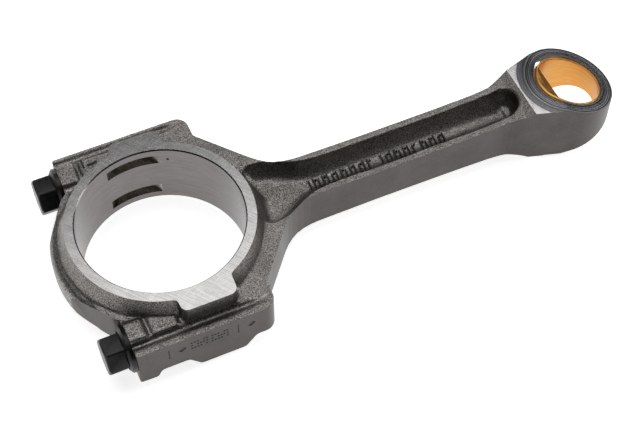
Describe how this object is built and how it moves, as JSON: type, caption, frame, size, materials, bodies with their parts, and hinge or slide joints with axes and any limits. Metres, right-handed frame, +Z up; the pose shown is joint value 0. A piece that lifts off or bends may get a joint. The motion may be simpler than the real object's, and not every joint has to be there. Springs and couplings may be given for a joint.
{
  "type": "connecting rod",
  "caption": "Forged steel connecting rod with an I-section shank, a bushed pin eye and a split crank end whose cap is held by two flange bolts.",
  "frame": {"origin": "middle of the underside: centred on the length and the width, on the plane of the lower crank thrust face", "axes": "+X along the rod from the crank end to the piston-pin end, +Z up along the two bore axes, Y across the rod"},
  "size_m": [0.209, 0.0846, 0.0269],
  "materials": {
    "forged_steel": "shot-blasted forged skin, with milled faces and bored bores",
    "bolt_steel": "black phosphate",
    "bronze": "bored bearing bronze"
  },
  "bodies": {
    "rod": {"rod_forging": "forged_steel", "small_end_bush": "bronze"},
    "cap": {"bearing_cap": "forged_steel"},
    "bolt_right": {"cap_bolt_right": "bolt_steel"},
    "bolt_left": {"cap_bolt_left": "bolt_steel"}
  },
  "joints": [
    {"name": "cap_slide", "type": "slide", "parent": "rod", "child": "cap", "axis": [-1, 0, 0], "range_m": [0, 0.024]},
    {"name": "bolt_right_turn", "type": "hinge", "parent": "cap", "child": "bolt_right", "pos_m": [-0.09133, -0.0342, 0.01345], "axis": [-1, 0, 0], "range_deg": [0, 8640]},
    {"name": "bolt_left_turn", "type": "hinge", "parent": "cap", "child": "bolt_left", "pos_m": [-0.09133, 0.0342, 0.01345], "axis": [-1, 0, 0], "range_deg": [0, 8640]}
  ],
  "couplings": [
    {"joint": "bolt_right_turn", "follows": "cap_slide", "rad_per_m": 6283.2},
    {"joint": "bolt_left_turn", "follows": "cap_slide", "rad_per_m": 6283.2}
  ]
}
